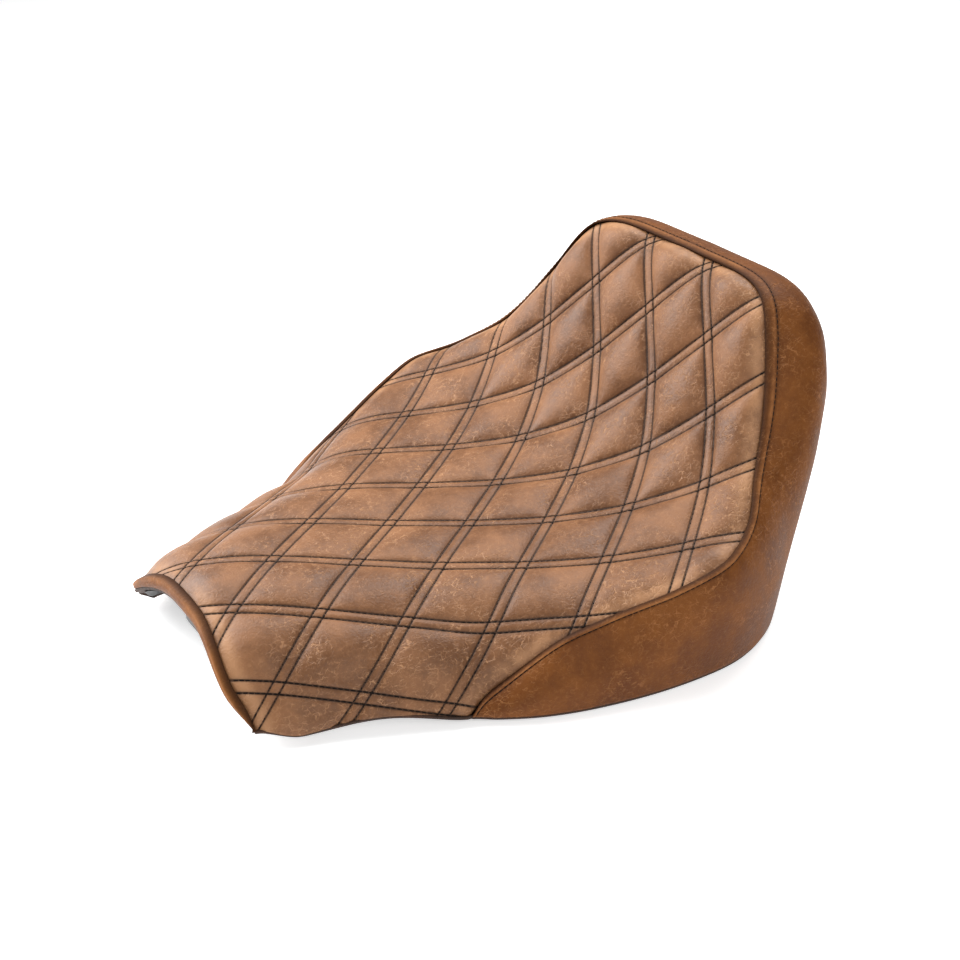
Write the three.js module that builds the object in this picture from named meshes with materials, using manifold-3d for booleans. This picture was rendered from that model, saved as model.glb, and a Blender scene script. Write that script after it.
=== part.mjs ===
// Solo motorcycle seat with a quilted saddle, a plain boxing band and a kicked-up tail.
// Millimetres, +Z up, nose towards -Y, the rider's left side at +X, symmetric about X = 0.
// While it is built, Y = 0 is the crest of the saddle and Z = 0 is the base plane. At the end the
// whole seat is moved so that the origin is the middle of its outer box, on the base plane.
import * as THREE from "three";
import { mergeVertices } from "three/addons/utils/BufferGeometryUtils.js";
import Module from "manifold-3d";

const wasm = await Module();
wasm.setup();

// Driving dimensions.
const seatWidth = 387; // across the lower edge, where the body is widest
const crestHeight = 66; // base plane to the crest of the saddle
const kickHeight = 142.5; // crest to the seam along the top of the tail
const saddleLength = 341; // crest to the tail seam, measured flat
const noseLength = 63; // crest to the nose seam, measured flat
const rearOverhang = 10; // how far the lower rear edge lies behind the tail seam
const noseSweep = 6; // how far the nose seam runs forward at the shoulders
const noseReturn = 5; // and how far it falls back again towards the skirts' corners
const lipForward = 9; // nose panel: how far it rolls forward of its seam
const lipDrop = 10.5; // nose panel: height at the middle of the nose
const skirtRise = 2; // front skirts end this much above the base plane
const skirtArch = 7; // and arch up this much more between nose and boxing
const cornerRise = 7; // rounding of the skirts' front corners
const fenderArchHeight = 18; // the lower rear edge arches over the fender bracket
const fenderArchFlat = 30; // half width of the arch's level middle
const fenderArchHalfWidth = 74;

const coverThickness = 1.2;
const quiltThickness = 6; // foam sheet quilted to the top panel
const layerGap = 0.3; // clearance between neighbouring layers
const weldDistance = 1e-3; // corners closer than this are one
const seamGap = 2; // boxing and nose panel start this far below the top panel's edge
const hemHeight = 5; // height of the rolled lower edge
const panThickness = 3.2;
const rimInset = 9; // outer face of the cover to the pan's rim
const deckHeight = 27; // pan's top face above the base plane, under the rider
const noseDeckHeight = 46.5; // pan's top face at the nose
const deckStep = [24, 98]; // where the pan's top face steps down, behind the crest
const skirtFoam = 4; // foam between the quilt and the pan on the front skirts

const tongueWidth = 44; // steel tongue that hooks under the tank bracket
const tongueRear = 8; // its rear end, behind the crest
const tongueLength = 66;
const tongueThickness = 4;
const tongueStep = 9; // how far its front half is set down
const tongueCorner = 8;
const tongueRivetSpacing = 24;
const rivetRadius = 3.2; // shank of a pop rivet
const rivetHeadRadius = 5.5;
const rivetHeadHeight = 1.8;
const bracketWidth = 40; // steel bracket at the rear
const bracketThickness = 3;
const bracketFootLength = 52;
const bracketFootAhead = 79; // middle of the foot bolted to the pan, ahead of the tail seam
const bracketTongueTop = 14; // top face of the bracket where the screw passes
const bracketReach = 27; // how far the bracket stands out behind the lower rear edge
const bracketCorner = 9;
const screwRadius = 3; // captive mounting screw
const screwClearance = 0.3;
const screwHeadRadius = 8;
const screwHeadHeight = 10;
const screwTail = 9; // thread below the bracket
const washerRadius = 7;
const washerThickness = 1.2;
const ringRadius = 5;
const ringThickness = 1;
const ringClearance = 0.12;
const boltRadius = 3; // bracket bolts
const boltHeadRadius = 5.5;
const boltHeadHeight = 3.4;
const boltSpacing = 22;
const bumperRadius = 13; // rubber bumpers that stand on the frame rails
const bumperBottom = 4; // their faces above the base plane
const bumperStemRadius = 4;
const bumperClearance = 0.3;
const bumperPlaces = [
  { name: "front", x: 52, y: 112 },
  { name: "rear", x: 86, y: 232 },
];
const hemRivetRadius = 1.6;
const hemRivetHeadRadius = 3.6;
const hemRivetHeadHeight = 1.3;
const hemRivetPlaces = [0.36, 0.47, 0.58, 0.72, 0.88]; // shares of each side, nose to tail

// Facets.
const noseSteps = 7;
const skirtSteps = 6;
const boxingSteps = 23;
const panelRings = 6;
const bandRings = 5;
const panRings = [1, 0.975, 0.93, 0.85, 0.65, 0.4, 0];

const halfWidth = seatWidth / 2;
const quiltTop = coverThickness + layerGap;
const quiltBottom = quiltTop + quiltThickness;
const halfSteps = noseSteps + skirtSteps + boxingSteps;
const ringCount = 2 * halfSteps;

// Centre line of the top: [share of saddleLength, share of kickHeight] behind the crest.
const saddleDip = 3.2;
const kickShape = [
  [0.519, 0.002],
  [0.642, 0.062],
  [0.754, 0.199],
  [0.837, 0.425],
  [0.897, 0.681],
  [0.947, 0.898],
  [0.971, 0.965],
  [1, 1],
  [1.026, 1.007],
];
const noseShape = [
  [-1.3, -16],
  [-1.08, -7.5],
  [-0.79, -3.2],
  [-0.43, -0.8],
]; // [share of noseLength, drop in mm] ahead of the crest

// How the top bends across the seat: [place along it, reach, edge angle in degrees, sharpness of
// the shoulder, hollow in mm]. Places are shares of the panel's length behind the crest.
const acrossShape = [
  [-0.184, 0.56, 64, 1.2, 0],
  [-0.11, 0.65, 74, 1.45, 0],
  [0, 0.755, 68, 1.55, 0],
  [0.11, 0.827, 62, 1.9, 0],
  [0.216, 0.884, 66, 2.75, 0],
  [0.324, 0.94, 54, 5.2, 0],
  [0.437, 0.961, 24, 8, 4],
  [0.545, 0.982, 18, 8, 8],
  [0.654, 0.889, 32, 8, 6],
  [0.737, 0.765, 38, 8, 2],
  [0.87, 0.62, 38, 8, 0],
  [1.03, 0.517, 38, 8, 0],
];

// The boxing band: [panel edge: half width, place along; lower edge: half width, place along].
const boxingStart = 0.14;
const boxingShape = [
  [0.832, 0.167, 0.772, 0.177],
  [0.819, 0.201, 0.808, 0.208],
  [0.822, 0.285, 0.873, 0.279],
  [0.863, 0.364, 0.941, 0.393],
  [0.935, 0.467, 0.987, 0.519],
  [0.966, 0.55, 1, 0.65],
  [0.946, 0.59, 0.982, 0.712],
  [0.889, 0.644, 0.941, 0.772],
  [0.775, 0.717, 0.879, 0.826],
  [0.615, 0.865, 0.734, 0.906],
  [0.506, 0.953, 0.543, 0.963],
  [0.444, 0.978, 0.444, 0.98],
  [0.34, 0.994, 0.31, 0.991],
  [0, 1, 0, 1],
];

const vec = (x, y, z) => new THREE.Vector3(x, y, z);
const clamp01 = (a) => Math.min(1, Math.max(0, a));
const smooth = (a) => clamp01(a) ** 2 * (3 - 2 * clamp01(a));
const mix = (a, b, t) => a + (b - a) * t;
const mirrored = (p) => vec(-p.x, p.y, p.z);

// A smooth curve through a table's rows, read at a value of its first column.
function readTable(table, at) {
  const last = table.length - 1;
  let i = 0;
  while (i < last - 1 && table[i + 1][0] < at) i += 1;
  const h = table[i + 1][0] - table[i][0];
  const t = clamp01((at - table[i][0]) / h);
  const slope = (k, column) => {
    const a = Math.max(k - 1, 0);
    const b = Math.min(k + 1, last);
    return (table[b][column] - table[a][column]) / (table[b][0] - table[a][0]);
  };
  return table[i].slice(1).map((value, k) => {
    const column = k + 1;
    const next = table[i + 1][column];
    const bend = t * (1 - t) * h * ((1 - t) * slope(i, column) - t * slope(i + 1, column));
    return mix(value, next, t * t * (3 - 2 * t)) + bend;
  });
}

// Centre line of the top face, with the length along it measured from the crest.
const centrePoints = [
  ...noseShape.map(([share, z]) => vec(0, share * noseLength, z)),
  vec(0, 0, 0),
  vec(0, 0.13 * saddleLength, -0.53 * saddleDip),
  vec(0, 0.26 * saddleLength, -saddleDip),
  vec(0, 0.39 * saddleLength, -0.84 * saddleDip),
  ...kickShape.map(([y, z]) => vec(0, y * saddleLength, z * kickHeight)),
];
const centreLine = new THREE.CatmullRomCurve3(centrePoints, false, "centripetal");
centreLine.arcLengthDivisions = 2400;
const centreLengths = centreLine.getLengths();
const lengthToPoint = (k) =>
  centreLengths[Math.round((k / (centrePoints.length - 1)) * centreLine.arcLengthDivisions)];
const crestLength = lengthToPoint(noseShape.length);
const panelLength = lengthToPoint(centrePoints.length - 2) - crestLength;
const wholeLength = centreLine.getLength();

function centreAt(v) {
  const share = clamp01((crestLength + v) / wholeLength);
  const point = centreLine.getPointAt(share);
  const tangent = centreLine.getTangentAt(share);
  const lean = smooth((v / panelLength - 0.147) / 0.27);
  const up = vec(0, -tangent.z * lean, mix(1, tangent.y, lean)).normalize();
  return { point, up };
}

// The top face as a sheet: u is measured across it and v along it, both on its surface.
const acrossSteps = 90;
function sheetRow(v) {
  const [reachShare, angle, sharpness, hollow] = readTable(acrossShape, v / panelLength);
  const reach = reachShare * halfWidth;
  const step = (reach * 1.6) / acrossSteps;
  const { point, up } = centreAt(v);
  const row = [{ u: 0, x: 0, drop: 0 }];
  for (let i = 1; i <= acrossSteps; i += 1) {
    const turn = Math.min(angle * (((i - 0.5) * step) / reach) ** sharpness, 86);
    const before = row[i - 1];
    row.push({
      u: i * step,
      x: before.x + Math.cos(THREE.MathUtils.degToRad(turn)) * step,
      drop: before.drop + Math.sin(THREE.MathUtils.degToRad(turn)) * step,
    });
  }
  return (u) => {
    const place = Math.min(Math.abs(u) / step, acrossSteps - 1e-6);
    const i = Math.floor(place);
    const t = place - i;
    const rise = hollow * (u / (0.93 * halfWidth)) ** 2;
    const drop = mix(row[i].drop, row[i + 1].drop, t) - rise;
    const x = Math.sign(u) * mix(row[i].x, row[i + 1].x, t);
    return vec(x, point.y - up.y * drop, crestHeight + point.z - up.z * drop);
  };
}
const sheetPoint = (u, v) => sheetRow(v)(u);

function sheetNormal(u, v) {
  const reach = 1.5;
  const across = sheetPoint(u + reach, v).sub(sheetPoint(u - reach, v));
  const along = sheetPoint(u, v + reach).sub(sheetPoint(u, v - reach));
  return across.cross(along).normalize();
}

// Height of the body's lower edge above the base plane.
function lowerEdgeHeight(y) {
  const front = 1 - smooth((y - 40) / 90);
  const arch = (1 + Math.cos(Math.PI * clamp01(Math.abs(y - 8) / noseLength))) / 2;
  const corner = 1 - smooth((y + noseLength) / 26);
  return skirtRise * front + skirtArch * arch + cornerRise * corner;
}
function fenderArch(x) {
  const share = (Math.abs(x) - fenderArchFlat) / (fenderArchHalfWidth - fenderArchFlat);
  return fenderArchHeight * (1 - smooth(share));
}

// Where the top panel's own lower edge lies on the front skirts.
function skirtReach(v) {
  const row = sheetRow(v);
  let low = 0.2 * halfWidth;
  let high = 1.3 * halfWidth;
  for (let i = 0; i < 40; i += 1) {
    const middle = (low + high) / 2;
    const p = row(middle);
    if (p.z > lowerEdgeHeight(p.y) + hemHeight + layerGap) low = middle;
    else high = middle;
  }
  return low;
}

// Stations round half the seat, from the middle of the nose by the left side to the tail. Each has
// the panel's edge, the body's lower edge, and how far along the spine its section starts.
function noseStation(share) {
  const u = share * noseCornerReach;
  const v = noseSeamAt(u);
  const edge = sheetPoint(u, v);
  const fade = 1 - share ** 4;
  const lower = vec(edge.x, edge.y - lipForward * fade, edge.z - lipDrop * fade);
  lower.z = Math.max(lower.z, lowerEdgeHeight(edge.y) + hemHeight + layerGap);
  return { u, v, edge, lower, spine: 0, front: 1 };
}
const noseCornerV = noseReturn - noseLength - noseSweep;
const noseCornerReach = skirtReach(noseCornerV);
function noseSeamAt(u) {
  const share = Math.abs(u) / halfWidth;
  const forward = noseSweep * smooth((share - 0.08) / 0.3);
  return noseReturn * smooth((share - 0.38) / 0.18) - noseLength - forward;
}

function skirtStation(share) {
  const v = mix(noseCornerV, boxingStart * panelLength, share);
  const u = skirtReach(v);
  const edge = sheetPoint(u, v);
  return { u, v, edge, lower: edge.clone(), spine: 0.3 * share, front: 1 };
}

const boxingSeam = new THREE.CatmullRomCurve3(
  [
    vec(skirtReach(boxingStart * panelLength), boxingStart * panelLength, 0),
    ...boxingShape.map(([u, v]) => vec(u * halfWidth, v * panelLength, 0)),
  ],
  false,
  "centripetal",
);
const boxingFoot = sheetPoint(skirtReach(boxingStart * panelLength), boxingStart * panelLength);
const lowerEdge = new THREE.CatmullRomCurve3(
  [
    vec(boxingFoot.x, boxingFoot.y, 0),
    ...boxingShape.map(([, , x, y]) => vec(x * halfWidth, y * (saddleLength + rearOverhang), 0)),
  ],
  false,
  "centripetal",
);

function boxingStation(share) {
  const seam = boxingSeam.getPoint(share);
  const edge = sheetPoint(seam.x, seam.y);
  const lower = lowerEdge.getPoint(share);
  const rear = smooth((lower.y / saddleLength - 0.85) / 0.1);
  lower.z = lowerEdgeHeight(lower.y) + fenderArch(lower.x) * rear + hemHeight + layerGap;
  const spine = mix(0.3, 1, smooth(share * 1.15));
  return { u: seam.x, v: seam.y, edge, lower, spine, front: 1 - smooth(share / 0.2) };
}

const half = [];
for (let i = 0; i < noseSteps; i += 1) half.push(noseStation(i / noseSteps));
for (let i = 0; i < skirtSteps; i += 1) half.push(skirtStation(i / skirtSteps));
for (let i = 0; i <= boxingSteps; i += 1) half.push(boxingStation(i / boxingSteps));

// Outward direction of the lower edge, seen from above.
half.forEach((station, i) => {
  const before = i > 0 ? half[i - 1].lower : mirrored(half[1].lower);
  const after = i < halfSteps ? half[i + 1].lower : mirrored(half[halfSteps - 1].lower);
  station.out = vec(after.y - before.y, before.x - after.x, 0).normalize();
});

// A full ring of points from a function of a half station: the right side mirrors the left.
function ring(pointOf) {
  const left = half.map((station, i) => pointOf(station, i));
  const right = left.slice(1, halfSteps).reverse().map(mirrored);
  return [...left, ...right];
}

// The panel's rings run from the spine line out to the panel's edge.
const spineFront = -0.05;
const spineBack = 0.8;
const spineAlong = (station) => mix(spineFront, spineBack, station.spine) * panelLength;
function panelPlace(station, share) {
  return [station.u * share, mix(spineAlong(station), station.v, share)];
}
const panelShares = Array.from({ length: panelRings + 1 }, (_, i) => (i / panelRings) ** 0.8);

const panelRing = (share, depth) =>
  ring((station) => {
    const [u, v] = panelPlace(station, share);
    return sheetPoint(u, v).addScaledVector(sheetNormal(u, v), -depth);
  });

// The band runs from the panel's edge to the lower edge, bulging outwards.
function bandPoint(station, share) {
  const { edge, lower, out } = station;
  const length = edge.distanceTo(lower);
  if (length < 1e-6) return edge.clone();
  const tall = clamp01((edge.z - 60) / 120);
  const start = edge.clone().addScaledVector(out, length * (0.1 + 0.36 * tall));
  start.z += length * (0.02 * tall - 0.1 * (1 - tall));
  const end = lower.clone().addScaledVector(out, length * 0.06);
  end.z += length * 0.42;
  return new THREE.CubicBezierCurve3(edge, start, end, lower).getPoint(share);
}

function bandNormal(i, share) {
  const at = (k, s) => {
    if (k < 0) return mirrored(bandPoint(half[-k], s));
    if (k > halfSteps) return mirrored(bandPoint(half[2 * halfSteps - k], s));
    return bandPoint(half[k], s);
  };
  const station = half[i];
  if (station.edge.distanceTo(station.lower) < 1e-6) return sheetNormal(station.u, station.v);
  const along = at(i + 1, share).sub(at(i - 1, share));
  const low = Math.max(share - 0.1, 0);
  const high = Math.min(share + 0.1, 1);
  const down = bandPoint(station, high).sub(bandPoint(station, low));
  const normal = down.cross(along).normalize();
  return normal.dot(station.out) < 0 ? normal.negate() : normal;
}
// The base pan: its rings run from the rim inwards to the spine, close under the covers on the front
// skirts and as a flat deck with steep sides under the rider.
const panSpine = [-0.05 * saddleLength, 0.84 * saddleLength];
const deckFall = (y) => smooth((y - deckStep[0]) / (deckStep[1] - deckStep[0]));
const deckAt = (y) => mix(noseDeckHeight, deckHeight, deckFall(y));

function rimPoint(station) {
  const rim = station.lower.clone().addScaledVector(station.out, -rimInset);
  rim.z += coverThickness + layerGap - hemHeight;
  return rim;
}

function panPoint(station, share) {
  const rim = rimPoint(station);
  if (share > 0.999) return rim;
  const y = mix(mix(panSpine[0], panSpine[1], station.spine), rim.y, share);
  const rise = (1 - share ** 4.5) ** (1 / 4.5);
  const deck = vec(rim.x * share, y, mix(rim.z, Math.max(deckAt(y), rim.z), rise));
  if (station.front < 0.001) return deck;
  const [u, v] = panelPlace(station, 0.94 * share);
  const under = sheetPoint(u, v).addScaledVector(sheetNormal(u, v), -quiltBottom - skirtFoam);
  under.z = Math.min(under.z, deckAt(under.y));
  return deck.lerp(under, station.front);
}

function panNormal(i, share) {
  const at = (k, s) => {
    if (k < 0) return mirrored(panPoint(half[-k], s));
    if (k > halfSteps) return mirrored(panPoint(half[2 * halfSteps - k], s));
    return panPoint(half[k], s);
  };
  if (share < 0.05) return vec(0, 0, 1);
  if (share > 0.999) return half[i].out;
  const along = at(i + 1, share).sub(at(i - 1, share));
  const inwards = at(i, share - 0.012).sub(at(i, share));
  const normal = along.cross(inwards).normalize();
  return normal.z < 0 ? normal.negate() : normal;
}
const panRing = (share, depth) =>
  ring((station, i) =>
    panPoint(station, share).addScaledVector(panNormal(i, share), -depth),
  );

// Closed solids from grids of points. Each triangle is three points.
function solidFromTriangles(triangles) {
  const same = (a, b) => a.distanceToSquared(b) < 1e-8;
  const whole = ([a, b, c]) => !same(a, b) && !same(b, c) && !same(c, a);
  const positions = triangles.filter(whole).flatMap((t) => t.flatMap((p) => p.toArray()));
  const geometry = new THREE.BufferGeometry();
  geometry.setAttribute("position", new THREE.Float32BufferAttribute(positions, 3));
  return mergeVertices(geometry, 1e-4);
}

// Triangles between neighbouring rows. Every layer splits its quads along the same diagonal, and
// the right side mirrors the left, so that layers stay parallel and the seat symmetric.
function gridTriangles(rows, closed, firstStation, inwards) {
  const triangles = [];
  for (let r = 0; r + 1 < rows.length; r += 1) {
    const count = rows[r].length;
    for (let k = 0; k < (closed ? count : count - 1); k += 1) {
      const n = (k + 1) % count;
      const [a, b, c, d] = [rows[r][k], rows[r + 1][k], rows[r + 1][n], rows[r][n]];
      const onRight = (firstStation + k + ringCount) % ringCount >= halfSteps;
      const pair = onRight ? [[a, b, d], [b, c, d]] : [[a, b, c], [a, c, d]];
      for (const t of pair) triangles.push(inwards ? t.reverse() : t);
    }
  }
  return triangles;
}

// A domed skin: both faces close on their spines, and the last rings are joined.
function domeSolid(outer, inner) {
  return solidFromTriangles([
    ...gridTriangles(outer, true, 0, false),
    ...gridTriangles(inner, true, 0, true),
    ...gridTriangles([outer.at(-1), inner.at(-1)], true, 0, false),
  ]);
}

// A strip with its own two faces, long edges and ends.
function stripSolid(outer, inner, firstStation) {
  const ends = [0, outer[0].length - 1].flatMap((k, i) => {
    const column = [outer.map((row) => row[k]), inner.map((row) => row[k])];
    return gridTriangles(column, false, 0, i === 1);
  });
  return solidFromTriangles([
    ...gridTriangles(outer, false, firstStation, false),
    ...gridTriangles(inner, false, firstStation, true),
    ...gridTriangles([inner[0], outer[0]], false, firstStation, false),
    ...gridTriangles([outer.at(-1), inner.at(-1)], false, firstStation, false),
    ...ends,
  ]);
}

function toSolid(geometry) {
  const bare = new THREE.BufferGeometry();
  const source = geometry.index ? geometry.toNonIndexed() : geometry;
  bare.setAttribute("position", source.getAttribute("position"));
  const merged = mergeVertices(bare, weldDistance);
  const corners = merged.index.array;
  const whole = (i) => {
    const [a, b, c] = corners.slice(i - (i % 3), i - (i % 3) + 3);
    return a !== b && b !== c && c !== a;
  };
  const triVerts = new Uint32Array(corners.filter((corner, i) => whole(i)));
  const vertProperties = new Float32Array(merged.attributes.position.array);
  const solid = new wasm.Manifold(new wasm.Mesh({ numProp: 3, vertProperties, triVerts }));
  if (solid.volume() > 0) return solid;
  for (let i = 0; i < triVerts.length; i += 3) {
    [triVerts[i + 1], triVerts[i + 2]] = [triVerts[i + 2], triVerts[i + 1]];
  }
  return new wasm.Manifold(new wasm.Mesh({ numProp: 3, vertProperties, triVerts }));
}

const without = (solid, others) => others.reduce((left, other) => left.subtract(other), solid);

function toGeometry(solid) {
  const mesh = solid.getMesh();
  const geometry = new THREE.BufferGeometry();
  geometry.setAttribute("position", new THREE.BufferAttribute(mesh.vertProperties, 3));
  geometry.setIndex(new THREE.BufferAttribute(mesh.triVerts, 1));
  geometry.computeVertexNormals();
  return geometry;
}

// The largest body of a cut solid, once corners closer than the weld distance have met.
function largestBody(solid) {
  const bodies = toSolid(toGeometry(solid)).decompose();
  return bodies.sort((a, b) => b.volume() - a.volume())[0];
}

// Simple round and flat shapes, already in place.
function roundSolid(profile, place, axis = vec(0, 0, 1), segments = 16) {
  const points = profile.map(([r, z]) => new THREE.Vector2(r, z));
  const geometry = new THREE.LatheGeometry(points, segments);
  geometry.deleteAttribute("uv");
  geometry.deleteAttribute("normal");
  geometry.applyQuaternion(new THREE.Quaternion().setFromUnitVectors(vec(0, 1, 0), axis));
  geometry.translate(place.x, place.y, place.z);
  return toSolid(geometry);
}
const pin = (radius, from, to, x, y) =>
  roundSolid([[0, from], [radius, from], [radius, to], [0, to]], vec(x, y, 0), vec(0, 0, 1), 12);

const leather = { color: 0x8a5a3a, roughness: 0.55, metalness: 0 };
const boxingLeather = { color: 0x7d4a22, roughness: 0.55, metalness: 0 };
const liningLeather = { color: 0x5a371c, roughness: 0.7, metalness: 0 };
const foam = { color: 0xd9c9a3, roughness: 0.95, metalness: 0 };
const quiltFoam = { color: 0xbfc4c8, roughness: 0.95, metalness: 0 };
const panPlastic = { color: 0x1b1b1c, roughness: 0.6, metalness: 0 };
const rubber = { color: 0x141414, roughness: 0.85, metalness: 0 };
const blackSteel = { color: 0x202123, roughness: 0.45, metalness: 0.7 };
const brightSteel = { color: 0xb9bcc0, roughness: 0.3, metalness: 1 };

const seat = new THREE.Group();
function addPart(name, shape, finish) {
  const geometry = toGeometry(shape.isBufferGeometry ? toSolid(shape) : shape);
  const mesh = new THREE.Mesh(geometry, new THREE.MeshStandardMaterial(finish));
  mesh.name = name;
  seat.add(mesh);
}

// Top panel and the foam sheet quilted to its back.
const panelLayer = (depth) => panelShares.map((share) => panelRing(share, depth));
const topPanel = toSolid(domeSolid(panelLayer(0), panelLayer(coverThickness)));
addPart("quilted_top_panel", topPanel, leather);
const quiltShares = panelShares.slice(0, -1);
const quiltLayer = (depth) => quiltShares.map((share) => panelRing(share, depth));
const quiltSheet = toSolid(domeSolid(quiltLayer(quiltTop), quiltLayer(quiltBottom)));
addPart("quilt_foam_sheet", quiltSheet, quiltFoam);

// Boxing band and nose panel, cut short of the panel's edge by the seam gap.
const bandShares = Array.from({ length: bandRings + 1 }, (_, i) => i / bandRings);
const bandRows = (depth) =>
  bandShares.map((share) =>
    ring((station, i) => {
      const length = Math.max(station.edge.distanceTo(station.lower), seamGap);
      const place = mix(Math.min(seamGap / length, 0.4), 1, share);
      return bandPoint(station, place).addScaledVector(bandNormal(i, place), -depth);
    }),
  );

// Part of each ring, from one station to another, with its ends drawn back by half a layer gap.
function cutRows(rows, from, to) {
  return rows.map((row) => {
    const cut = [];
    for (let k = from; k <= to; k += 1) cut.push(row[(k + ringCount) % ringCount].clone());
    const last = cut.length - 1;
    const drawn = (end, next) => cut[end].lerp(cut[next], layerGap / cut[end].distanceTo(cut[next]));
    drawn(0, 1);
    drawn(last, last - 1);
    return cut;
  });
}
const cutStrip = (outer, inner, from, to) =>
  stripSolid(cutRows(outer, from, to), cutRows(inner, from, to), from);

const boxingFrom = noseSteps + skirtSteps + 1;
const bandOuter = bandRows(0);
const bandInner = bandRows(coverThickness);
const boxing = toSolid(cutStrip(bandOuter, bandInner, boxingFrom, ringCount - boxingFrom));
addPart("side_and_rear_boxing", boxing, boxingLeather);
addPart("nose_panel", cutStrip(bandOuter, bandInner, 1 - noseSteps, noseSteps - 1), leather);

// Cushion: between the covers and the pan.
const cushionTop = [
  ...panelShares.map((share, i) => {
    const under = i < panelRings ? quiltBottom + layerGap : quiltTop;
    return panelRing(share, under);
  }),
  ...bandRows(coverThickness + layerGap),
];
const cushionBottom = [...panRings].reverse().map((share) => panRing(share, -layerGap));
const cushion = toSolid(domeSolid(cushionTop, cushionBottom));
addPart("foam_cushion", cushion, foam);
const panShares = [...panRings].reverse();
const panFace = (depth) => panShares.map((share) => panRing(share, depth));
// The pan and the hem keep clear of the covers, whatever the seat's sizes.
const covers = [topPanel, quiltSheet, boxing].flatMap((cover) => [
  cover,
  cover.translate([0, 0, -layerGap]),
]);
const wholePan = toSolid(domeSolid(panFace(0), panFace(panThickness)));
const pan = largestBody(without(wholePan, covers));

// Lower edge: a rolled hem that wraps the pan's rim and runs up inside it.
const hemGap = 2 * layerGap;
const hemInside = rimInset + panThickness + hemGap;
const hemTurn = 1.4;
const hemPoint = (outwards, up) => (station) => {
  const p = station.lower.clone().addScaledVector(station.out, outwards);
  p.z += up - layerGap - hemHeight;
  return p;
};
const hemTop = (depth) => panRing(panRings[1], panThickness + hemGap + depth);
const hemOuter = [
  hemTop(coverThickness),
  ring(hemPoint(-hemInside - coverThickness, hemTurn)),
  ring(hemPoint(-hemInside, 0)),
  ring(hemPoint(-hemTurn, 0)),
  ring(hemPoint(0, hemTurn)),
  ring(hemPoint(0, hemHeight - 2 * hemGap)),
];
const hemInner = [
  hemTop(0),
  ring(hemPoint(-hemInside, 1.2 * hemTurn)),
  ring(hemPoint(-hemInside + 0.4, coverThickness)),
  ring(hemPoint(-1.3 * hemTurn, coverThickness)),
  ring(hemPoint(-coverThickness, 1.3 * hemTurn)),
  ring(hemPoint(-coverThickness, hemHeight - 2 * hemGap)),
];

// Pop rivets through the hem's inner wall and the pan, heads towards the hollow.
const sideCount = halfSteps - noseSteps;
const hemRivets = hemRivetPlaces.map((share, i) => {
  const k = noseSteps + Math.round(share * sideCount);
  const [high, low] = hemOuter.slice(0, 2).map((row) => [row[k], row[k + 1]]);
  const place = [...low, ...high].reduce((sum, p) => sum.add(p), vec(0, 0, 0)).divideScalar(4);
  const axis = high[1].clone().sub(low[0]).cross(high[0].clone().sub(low[1])).normalize();
  if (axis.dot(half[k].out) < 0) axis.negate();
  return { name: "hem_rivet_left_" + (i + 1), place, axis };
});
for (const rivet of [...hemRivets]) {
  const name = rivet.name.replace("left", "right");
  hemRivets.push({ name, place: mirrored(rivet.place), axis: mirrored(rivet.axis) });
}
const rivetSink = coverThickness + layerGap + 0.65 * panThickness;
const rivetUnder = -0.5;
const hemRivetSolid = ({ place, axis }) =>
  roundSolid(
    [
      [0, rivetUnder - hemRivetHeadHeight],
      [hemRivetHeadRadius, rivetUnder - 0.3 * hemRivetHeadHeight],
      [hemRivetHeadRadius, rivetUnder],
      [hemRivetRadius, rivetUnder],
      [hemRivetRadius, rivetSink],
      [0, rivetSink],
    ],
    place,
    axis,
    10,
  );
const hemRivetHole = ({ place, axis }) => {
  const r = hemRivetRadius + layerGap;
  return roundSolid([[0, -4], [r, -4], [r, 7], [0, 7]], place, axis, 10);
};
const rivetHoles = hemRivets.map(hemRivetHole);

const sideEnd = noseSteps + Math.round(0.8 * sideCount);
const hemParts = [
  { name: "hem_nose", from: -noseSteps, to: noseSteps },
  { name: "hem_left", from: noseSteps, to: sideEnd },
  { name: "hem_rear", from: sideEnd, to: ringCount - sideEnd },
  { name: "hem_right", from: ringCount - sideEnd, to: ringCount - noseSteps },
];
const hemClear = [cushion, pan].flatMap((solid) => [
  solid.translate([0, 0, -layerGap]),
  solid.translate([0, -layerGap, -2 * layerGap]),
]);
for (const { name, from, to } of hemParts) {
  const strip = toSolid(cutStrip(hemOuter, hemInner, from, to));
  const clear = name === "hem_nose" ? hemClear : rivetHoles;
  addPart(name, largestBody(without(strip, [...covers, ...clear])), liningLeather);
}
for (const rivet of hemRivets) addPart(rivet.name, hemRivetSolid(rivet), brightSteel);

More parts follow.
